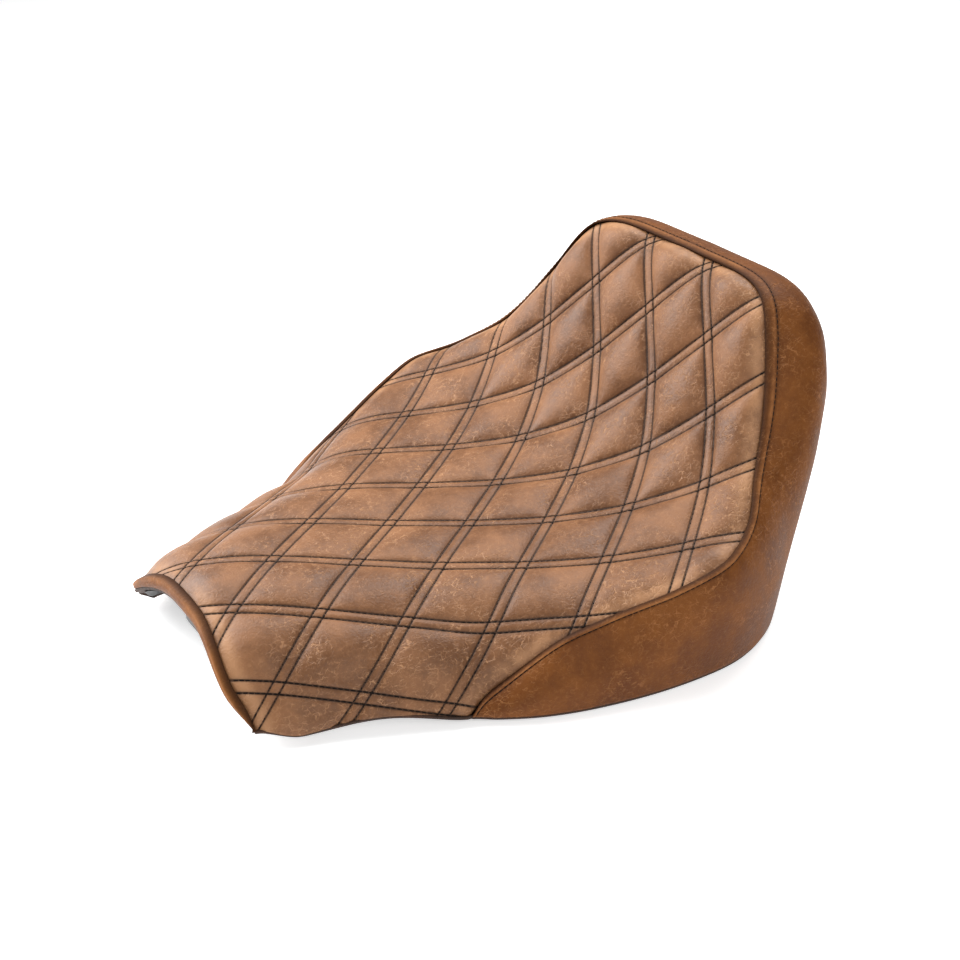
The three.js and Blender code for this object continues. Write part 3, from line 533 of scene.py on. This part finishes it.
def make_hem():
    """The rolled lower edge: down round the rim of the pan and up inside it."""
    loop = lower_loop()
    out = outward(loop)
    count = len(loop)
    front = 1 - smooth((loop[:, 1] - 50) / 60)
    top_in = mix(-15.9, -17.6, front)
    top_up = mix(13, 6.2, front)
    # Sideways and up from the lower edge. The last row, inside the pan, differs from front to back.
    section = [(-0.5, HEM_START), (-0.6, 2.2), (-1.2, 0.9), (-2.6, 0)]
    section += [(-6, -0.1), (-11.5, 0), (-13.4, 0.6), (-14, 2)]
    section_in, section_up = np.array([*section, (0, 0)]).T

    def place(around, inwards):
        k = np.round((1 - around) * count).astype(int) % count
        r = np.round(inwards * len(section)).astype(int)
        last = r == len(section)
        sideways = np.where(last, top_in[k], section_in[r])
        upward = np.where(last, top_up[k], section_up[r]) - HEM_START
        points = loop[k] + out[k] * sideways[:, None] + np.array([[0, 0, 1]]) * upward[:, None]
        flat = np.column_stack([around * 1500, inwards * 25])
        return points, flat, np.zeros(len(k)), np.zeros(len(k))

    return laid_grid("rolled_hem", count, len(section), place, closed=True)


# Stitching.
def one_stitch():
    """A short thread lying along X, a little fatter in the middle."""
    bm = bmesh.new()
    bmesh.ops.create_uvsphere(bm, u_segments=6, v_segments=5, radius=0.5)
    bmesh.ops.rotate(bm, verts=bm.verts, matrix=Matrix.Rotation(math.pi / 2, 3, "Y"))
    bmesh.ops.scale(bm, verts=bm.verts, vec=Vector((STITCH_LENGTH, STITCH_WIDTH, STITCH_HEIGHT)) * MM)
    mesh = bpy.data.meshes.new("stitch")
    bm.to_mesh(mesh)
    bm.free()
    return mesh


def make_stitches(name, places, directions, normals):
    stitch = one_stitch()
    bm = bmesh.new()
    for place, along, up in zip(in_frame(places), directions, normals):
        side = unit(np.cross(up, along))
        up = np.cross(along, side)
        turned = Matrix([(*row, p) for row, p in zip(np.column_stack([along, side, up]), place)])
        copy = stitch.copy()
        copy.transform(turned.to_4x4())
        bm.from_mesh(copy)
        bpy.data.meshes.remove(copy)
    for face in bm.faces:
        face.smooth = True
    mesh = bpy.data.meshes.new(name)
    bm.to_mesh(mesh)
    bm.free()
    piece = bpy.data.objects.new(name, mesh)
    bpy.context.scene.collection.objects.link(piece)
    return piece


def panel_halfwidth(v):
    side_v = np.concatenate([SKIRT_V, SEAM[1:, 1]])
    side_u = np.concatenate([SKIRT_U, SEAM[1:, 0]])
    rising = np.argmax(side_v)
    return np.interp(v, side_v[: rising + 1], side_u[: rising + 1])


def inside_panel(u, v, margin):
    flat = np.column_stack([u, v])
    near = np.minimum(edge_distance(flat, NOSE_OUTLINE), edge_distance(flat, BOXING_OUTLINE))
    seam_u, seam_v = SEAM[::-1, 0], SEAM[::-1, 1]
    tail = np.argmax(SEAM[:, 0] * (SEAM[:, 1] > 0.9 * PANEL_LENGTH))
    tail_v = np.interp(np.abs(u), seam_u[: len(SEAM) - tail], seam_v[: len(SEAM) - tail])
    between = (v > nose_seam(u)) & (v < tail_v) & (np.abs(u) < panel_halfwidth(v))
    return between & (near > margin)


def make_quilt_rows(name, lean):
    """Both rows of every line that leans one way across the panel."""
    along = np.array([DIAMOND_WIDTH, lean * DIAMOND_LENGTH])
    along = along / np.hypot(*along)
    across = np.array([along[1], -along[0]])
    steps = np.arange(-480, 480, STITCH_PITCH)
    u, v = [], []
    for line in range(-8, 9):
        for row in (-ROW_OFFSET, ROW_OFFSET):
            shift = line * LINE_SPACING + row
            u.append(across[0] * shift + along[0] * (steps + 0.37 * line * STITCH_PITCH))
            v.append(across[1] * shift + along[1] * (steps + 0.37 * line * STITCH_PITCH))
    u, v = np.concatenate(u), np.concatenate(v)
    kept = inside_panel(u, v, STITCH_MARGIN)
    u, v = u[kept], v[kept]
    half = STITCH_LENGTH / 2
    ahead, _, _, _ = panel_surface(u + along[0] * half, v + along[1] * half)
    behind, _, _, _ = panel_surface(u - along[0] * half, v - along[1] * half)
    normal = panel_surface(u, v)[1]
    return make_stitches(name, (ahead + behind) / 2 + normal * 0.12, unit(ahead - behind), normal)


def make_topstitch():
    """The row of stitches that holds the folded seam edge down on the boxing."""
    share = np.linspace(0.02, 1, 1200)
    line, _, outward_at = boxing_surface(share, from_seam=TOPSTITCH_OFFSET)
    line = np.stack([np.convolve(np.pad(c, 6, "edge"), np.ones(13) / 13, "valid") for c in line.T], 1)
    length = lengths_along(line)
    marks = np.arange(STITCH_PITCH, length[-1], STITCH_PITCH)
    half = STITCH_LENGTH / 2
    at = [np.stack([np.interp(marks + k, length, line[:, c]) for c in range(3)], 1) for k in (-half, half)]
    along = unit(at[1] - at[0])
    out = np.stack([np.interp(marks, length, outward_at[:, c]) for c in range(3)], 1)
    places = (at[0] + at[1]) / 2 + out * 0.25
    flip = np.array([-1, 1, 1])
    return make_stitches(
        "boxing_topstitching",
        np.vstack([places, places * flip]),
        np.vstack([along, along * flip]),
        np.vstack([out, out * flip]),
    )


cover = make_top_cover()
boxing = make_boxing()
nose = make_nose_cover()
hem = make_hem()
rows_leaning_left = make_quilt_rows("quilt_stitching_leaning_left", 1)
rows_leaning_right = make_quilt_rows("quilt_stitching_leaning_right", -1)
topstitching = make_topstitch()

for piece, thickness in ((cover, COVER_WALL), (boxing, COVER_WALL), (nose, COVER_WALL), (hem, HEM_WALL)):
    wall = piece.modifiers.new("leather", "SOLIDIFY")
    wall.thickness = thickness * MM
    wall.offset = -1


# Materials.
def put(tree, kind, sockets=None, **settings):
    """A node of a tree. sockets holds values for its inputs, or the outputs that feed them."""
    made = tree.nodes.new("ShaderNode" + kind)
    for name, value in settings.items():
        setattr(made, name, value)
    for name, value in (sockets or {}).items():
        if isinstance(value, bpy.types.NodeSocket):
            tree.links.new(value, made.inputs[name])
        else:
            made.inputs[name].default_value = value
    return made


def blend_colours(tree, share, first, second):
    made = tree.nodes.new("ShaderNodeMix")
    made.data_type = "RGBA"
    for socket, value in zip((made.inputs[0], made.inputs[6], made.inputs[7]), (share, first, second)):
        if isinstance(value, bpy.types.NodeSocket):
            tree.links.new(value, socket)
        elif isinstance(value, tuple):
            socket.default_value = (*value, 1)
        else:
            socket.default_value = value
    return made.outputs[2]


def calculate(tree, operation, first, second=0.0):
    made = put(tree, "Math", operation=operation)
    for socket, value in zip(made.inputs, (first, second)):
        if isinstance(value, bpy.types.NodeSocket):
            tree.links.new(value, socket)
        else:
            socket.default_value = value
    return made.outputs[0]


def ramp(tree, value, low, high, bottom=0.0, top=1.0):
    return put(
        tree,
        "MapRange",
        {"Value": value, "From Min": low, "From Max": high, "To Min": bottom, "To Max": top},
        interpolation_type="SMOOTHSTEP",
    ).outputs[0]


def noise(tree, place, scale, detail=3, roughness=0.5):
    sockets = {"Vector": place, "Scale": scale, "Detail": detail, "Roughness": roughness}
    return put(tree, "TexNoise", sockets).outputs["Fac"]


def make_leather_skin():
    """Grain, creases and mottling of worn leather, from Object coordinates in metres."""
    group = bpy.data.node_groups.new("leather_skin", "ShaderNodeTree")
    group.interface.new_socket("Place", in_out="INPUT", socket_type="NodeSocketVector")
    for output in ("Height", "Creases", "Mottle", "Speckle"):
        group.interface.new_socket(output, in_out="OUTPUT", socket_type="NodeSocketFloat")
    start = group.nodes.new("NodeGroupInput").outputs["Place"]
    end = group.nodes.new("NodeGroupOutput")
    shake = put(group, "TexNoise", {"Vector": start, "Scale": 150.0, "Detail": 2.0})
    moved = put(group, "VectorMath", {0: shake.outputs["Color"], 1: (0.5, 0.5, 0.5)}, operation="SUBTRACT")
    sized = put(group, "VectorMath", {0: moved.outputs[0], "Scale": 0.006}, operation="SCALE")
    warped = put(group, "VectorMath", {0: start, 1: sized.outputs[0]}, operation="ADD").outputs[0]
    pebbles = put(
        group,
        "TexVoronoi",
        {"Vector": warped, "Scale": 620.0, "Smoothness": 0.8},
        feature="SMOOTH_F1",
    ).outputs["Distance"]
    drawn_out = {"Vector": warped, "Scale": (1.0, 0.42, 1.0), "Rotation": (0.3, 0.5, 0.6)}
    drawn = put(group, "Mapping", drawn_out).outputs[0]
    folds = put(group, "TexVoronoi", {"Vector": drawn, "Scale": 260.0}, feature="DISTANCE_TO_EDGE")
    fine = put(group, "TexVoronoi", {"Vector": warped, "Scale": 430.0}, feature="DISTANCE_TO_EDGE")
    patch = ramp(group, noise(group, start, 22.0, 3, 0.55), 0.36, 0.62, 0.12, 1.0)
    fold_lines = ramp(group, folds.outputs["Distance"], 0.0, 0.075, 1.0, 0.0)
    fine_lines = ramp(group, fine.outputs["Distance"], 0.0, 0.09, 1.0, 0.0)
    broken = ramp(group, noise(group, start, 260.0, 2, 0.6), 0.4, 0.6)
    fine_lines = calculate(group, "MULTIPLY", fine_lines, 0.45)
    lines = calculate(group, "MAXIMUM", fold_lines, fine_lines)
    creases = calculate(group, "MULTIPLY", calculate(group, "MULTIPLY", lines, broken), patch)
    pebbled = calculate(group, "MULTIPLY", pebbles, -0.9)
    rough = calculate(group, "MULTIPLY", noise(group, start, 1500.0, 2), 0.25)
    height = calculate(group, "ADD", pebbled, rough)
    height = calculate(group, "SUBTRACT", height, calculate(group, "MULTIPLY", creases, 0.9))
    group.links.new(height, end.inputs["Height"])
    group.links.new(creases, end.inputs["Creases"])
    group.links.new(noise(group, start, 26.0, 6, 0.62), end.inputs["Mottle"])
    group.links.new(noise(group, start, 420.0, 3, 0.7), end.inputs["Speckle"])
    return group


LEATHER_SKIN = make_leather_skin()


def start_material(name):
    material = bpy.data.materials.new(name)
    material.use_nodes = True
    tree = material.node_tree
    return material, tree, tree.nodes["Principled BSDF"], put(tree, "TexCoord").outputs["Object"]


def make_quilt_lines():
    """Mask of the stitched rows, from the cover's flat map in metres: 1 along each row of holes."""
    group = bpy.data.node_groups.new("quilt_lines", "ShaderNodeTree")
    group.interface.new_socket("Flat", in_out="INPUT", socket_type="NodeSocketVector")
    group.interface.new_socket("Rows", in_out="OUTPUT", socket_type="NodeSocketFloat")
    flat = put(group, "SeparateXYZ", {"Vector": group.nodes.new("NodeGroupInput").outputs["Flat"]})
    across = calculate(group, "DIVIDE", flat.outputs["X"], DIAMOND_WIDTH * MM)
    along = calculate(group, "DIVIDE", flat.outputs["Y"], DIAMOND_LENGTH * MM)
    nearest = []
    for lean in ("ADD", "SUBTRACT"):
        place = calculate(group, lean, across, along)
        gap = calculate(group, "PINGPONG", place, 0.5)
        from_row = calculate(group, "SUBTRACT", gap, ROW_OFFSET / LINE_SPACING)
        nearest.append(calculate(group, "ABSOLUTE", from_row))
    gap = calculate(group, "MULTIPLY", calculate(group, "MINIMUM", *nearest), LINE_SPACING)
    rows = ramp(group, gap, 0.35, 1.15, 1.0, 0.0)
    group.links.new(rows, group.nodes.new("NodeGroupOutput").inputs["Rows"])
    return group


QUILT_LINES = make_quilt_lines()


def leather(name, dark, middle, light, roughness, height, shine, quilted=False):
    material, tree, shader, place = start_material(name)
    skin = tree.nodes.new("ShaderNodeGroup")
    skin.node_tree = LEATHER_SKIN
    tree.links.new(place, skin.inputs["Place"])
    # This attribute is painted shade in the grooves and seams; it also roughens them.
    groove_shade = put(tree, "Attribute", attribute_name="groove_shade").outputs["Fac"]
    wear = put(tree, "Attribute", attribute_name="wear").outputs["Fac"]
    raised = skin.outputs["Height"]
    if quilted:
        lines = tree.nodes.new("ShaderNodeGroup")
        lines.node_tree = QUILT_LINES
        tree.links.new(put(tree, "UVMap", uv_map="flat").outputs[0], lines.inputs["Flat"])
        rows = lines.outputs["Rows"]
        # The stitched rows add painted shade along the needle lines and sink the bump.
        groove_shade = calculate(tree, "MAXIMUM", calculate(tree, "MULTIPLY", groove_shade, 0.6), rows)
        raised = calculate(tree, "SUBTRACT", raised, calculate(tree, "MULTIPLY", rows, 1.5))
    mottle = skin.outputs["Mottle"]
    colour = blend_colours(tree, ramp(tree, mottle, 0.33, 0.68), dark, middle)
    speckle = ramp(tree, skin.outputs["Speckle"], 0.5, 0.8, 0.0, 0.22)
    colour = blend_colours(tree, speckle, colour, light)
    worn = calculate(tree, "MULTIPLY", wear, ramp(tree, mottle, 0.36, 0.6, 0.1, 0.6))
    colour = blend_colours(tree, worn, colour, light)
    pale = calculate(tree, "MULTIPLY", skin.outputs["Creases"], 0.6)
    colour = blend_colours(tree, pale, colour, tuple(1.1 * c for c in light))
    # Painted shade: the base colour goes towards near black in grooves, seams and stitched rows.
    shade = calculate(tree, "MULTIPLY", groove_shade, 0.86)
    colour = blend_colours(tree, shade, colour, tuple(0.16 * c for c in dark))
    tree.links.new(colour, shader.inputs["Base Color"])
    rough = ramp(tree, mottle, 0.3, 0.7, roughness - 0.06, roughness + 0.08)
    rough = calculate(tree, "ADD", rough, calculate(tree, "MULTIPLY", groove_shade, 0.25))
    tree.links.new(rough, shader.inputs["Roughness"])
    bump = put(tree, "Bump", {"Height": raised, "Strength": 1.0, "Distance": height * MM})
    tree.links.new(bump.outputs[0], shader.inputs["Normal"])
    shader.inputs["Specular IOR Level"].default_value = shine
    return material


def thread():
    material, tree, shader, place = start_material("bonded_thread")
    twist = put(tree, "TexWave", {"Vector": place, "Scale": 900.0, "Distortion": 3.0})
    tint = ramp(tree, noise(tree, place, 240.0), 0.35, 0.7)
    colour = blend_colours(tree, tint, (0.005, 0.003, 0.002), (0.014, 0.007, 0.004))
    tree.links.new(colour, shader.inputs["Base Color"])
    tree.links.new(ramp(tree, twist.outputs["Fac"], 0, 1, 0.75, 0.95), shader.inputs["Roughness"])
    shader.inputs["Specular IOR Level"].default_value = 0.2
    bump = put(tree, "Bump", {"Height": twist.outputs["Fac"], "Strength": 0.5, "Distance": 0.1 * MM})
    tree.links.new(bump.outputs[0], shader.inputs["Normal"])
    return material


def moulded(name, colour, worn, roughness, grain, metal=0.0):
    """Moulded plastic, rubber or painted and plated steel, with a fine grain and rubbed patches."""
    material, tree, shader, place = start_material(name)
    patches = noise(tree, place, 45.0, 5, 0.6)
    speckle = noise(tree, place, grain, 3, 0.6)
    rubbed = calculate(tree, "MULTIPLY", ramp(tree, patches, 0.5, 0.72), ramp(tree, speckle, 0.4, 0.65))
    tree.links.new(blend_colours(tree, rubbed, colour, worn), shader.inputs["Base Color"])
    rough = calculate(tree, "SUBTRACT", ramp(tree, patches, 0.3, 0.7, roughness, roughness + 0.14), 0.04)
    tree.links.new(rough, shader.inputs["Roughness"])
    bump = put(tree, "Bump", {"Height": speckle, "Strength": 0.35, "Distance": 0.15 * MM})
    tree.links.new(bump.outputs[0], shader.inputs["Normal"])
    shader.inputs["Metallic"].default_value = metal
    return material


TOP_LEATHER = leather(
    "top_leather", (0.13, 0.05, 0.016), (0.25, 0.108, 0.042), (0.48, 0.25, 0.12), 0.46, 0.22, 0.36, True
)
BOXING_LEATHER = leather(
    "boxing_leather", (0.11, 0.032, 0.005), (0.19, 0.062, 0.011), (0.36, 0.15, 0.05), 0.52, 0.22, 0.16
)
# The rolled hem is painted near black: painted shade where the leather rolls under the seat.
HEM_LEATHER_PAINTED_SHADE = leather(
    "hem_leather", (0.02, 0.008, 0.004), (0.05, 0.02, 0.009), (0.09, 0.04, 0.02), 0.6, 0.3, 0.25
)
THREAD = thread()
BLACK_PLASTIC = moulded("pan_plastic", (0.018, 0.018, 0.019), (0.045, 0.044, 0.043), 0.5, 900.0)
RUBBER = moulded("bumper_rubber", (0.012, 0.012, 0.012), (0.05, 0.048, 0.045), 0.72, 1400.0)
BLACK_STEEL = moulded("black_steel", (0.015, 0.015, 0.016), (0.09, 0.088, 0.085), 0.36, 700.0)
BRIGHT_STEEL = moulded("bright_steel", (0.58, 0.57, 0.55), (0.4, 0.37, 0.33), 0.24, 800.0, 1.0)


def dress(piece, material):
    if piece.material_slots:
        for slot in piece.material_slots:
            slot.material = material
    else:
        piece.data.materials.append(material)


for node_name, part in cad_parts.items():
    if node_name.startswith("bumper"):
        dress(part, RUBBER)
    elif node_name.startswith(("front_tongue", "rear_bracket")):
        dress(part, BLACK_STEEL)
    elif node_name == "base_pan":
        dress(part, BLACK_PLASTIC)
    else:
        dress(part, BRIGHT_STEEL)

for piece, material, slot_name in (
    (cover, TOP_LEATHER, "top_leather"),
    (boxing, BOXING_LEATHER, "boxing_leather"),
    (nose, BOXING_LEATHER, "boxing_leather"),
    (hem, HEM_LEATHER_PAINTED_SHADE, "hem_leather"),
    (rows_leaning_left, THREAD, "top_leather"),
    (rows_leaning_right, THREAD, "top_leather"),
    (topstitching, THREAD, "boxing_leather"),
):
    dress(piece, material)
    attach(piece, "seat")
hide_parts("quilted_top_panel", "quilt_foam_sheet", "foam_cushion")
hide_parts("side_and_rear_boxing")
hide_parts("nose_panel")
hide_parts("hem_nose", "hem_left", "hem_right", "hem_rear")


def add_camera():
    data = bpy.data.cameras.new("camera")
    data.lens = 53.34
    camera = bpy.data.objects.new("camera", data)
    bpy.context.scene.collection.objects.link(camera)
    camera.location = Vector(in_frame(np.array([720.1, -325.3, 504.4 + CREST_HEIGHT])))
    target = Vector(in_frame(np.array([65.3, 118.2, 50.6 + CREST_HEIGHT])))
    camera.rotation_euler = (target - camera.location).to_track_quat("-Z", "Y").to_euler()
    bpy.context.scene.camera = camera


def add_light(name, place, size, power, target=(0, 0, 0.1)):
    data = bpy.data.lights.new(name, "AREA")
    data.energy = power
    data.size = size
    light = bpy.data.objects.new(name, data)
    bpy.context.scene.collection.objects.link(light)
    light.location = place
    light.rotation_euler = (Vector(target) - Vector(place)).to_track_quat("-Z", "Y").to_euler()


def add_floor():
    bm = bmesh.new()
    bmesh.ops.create_grid(bm, x_segments=1, y_segments=1, size=6)
    mesh = bpy.data.meshes.new("floor")
    bm.to_mesh(mesh)
    bm.free()
    floor = bpy.data.objects.new("floor", mesh)
    bpy.context.scene.collection.objects.link(floor)
    material, tree, shader, place = start_material("pale_floor")
    tint = ramp(tree, noise(tree, place, 3.0), 0.3, 0.7)
    colour = blend_colours(tree, tint, (0.9, 0.9, 0.9), (0.93, 0.93, 0.93))
    tree.links.new(colour, shader.inputs["Base Color"])
    shader.inputs["Roughness"].default_value = 0.9
    shader.inputs["Emission Color"].default_value = (1, 1, 1, 1)
    shader.inputs["Emission Strength"].default_value = 0.55
    dress(floor, material)
    for vertex in mesh.vertices:
        vertex.co.z = -FLOOR_DROP * MM


add_camera()
add_floor()
add_light("far_softbox", (-0.95, -0.6, 0.95), 1.3, 36)
add_light("overhead", (-0.45, 0.75, 1.5), 1.1, 22)
add_light("near_fill", (1.3, -0.3, 1.0), 1.0, 7)
world = bpy.data.worlds.new("studio")
world.use_nodes = True
world.node_tree.nodes["Background"].inputs["Color"].default_value = (1, 1, 1, 1)
world.node_tree.nodes["Background"].inputs["Strength"].default_value = 0.28
bpy.context.scene.world = world
bpy.context.scene.view_settings.view_transform = "Standard"
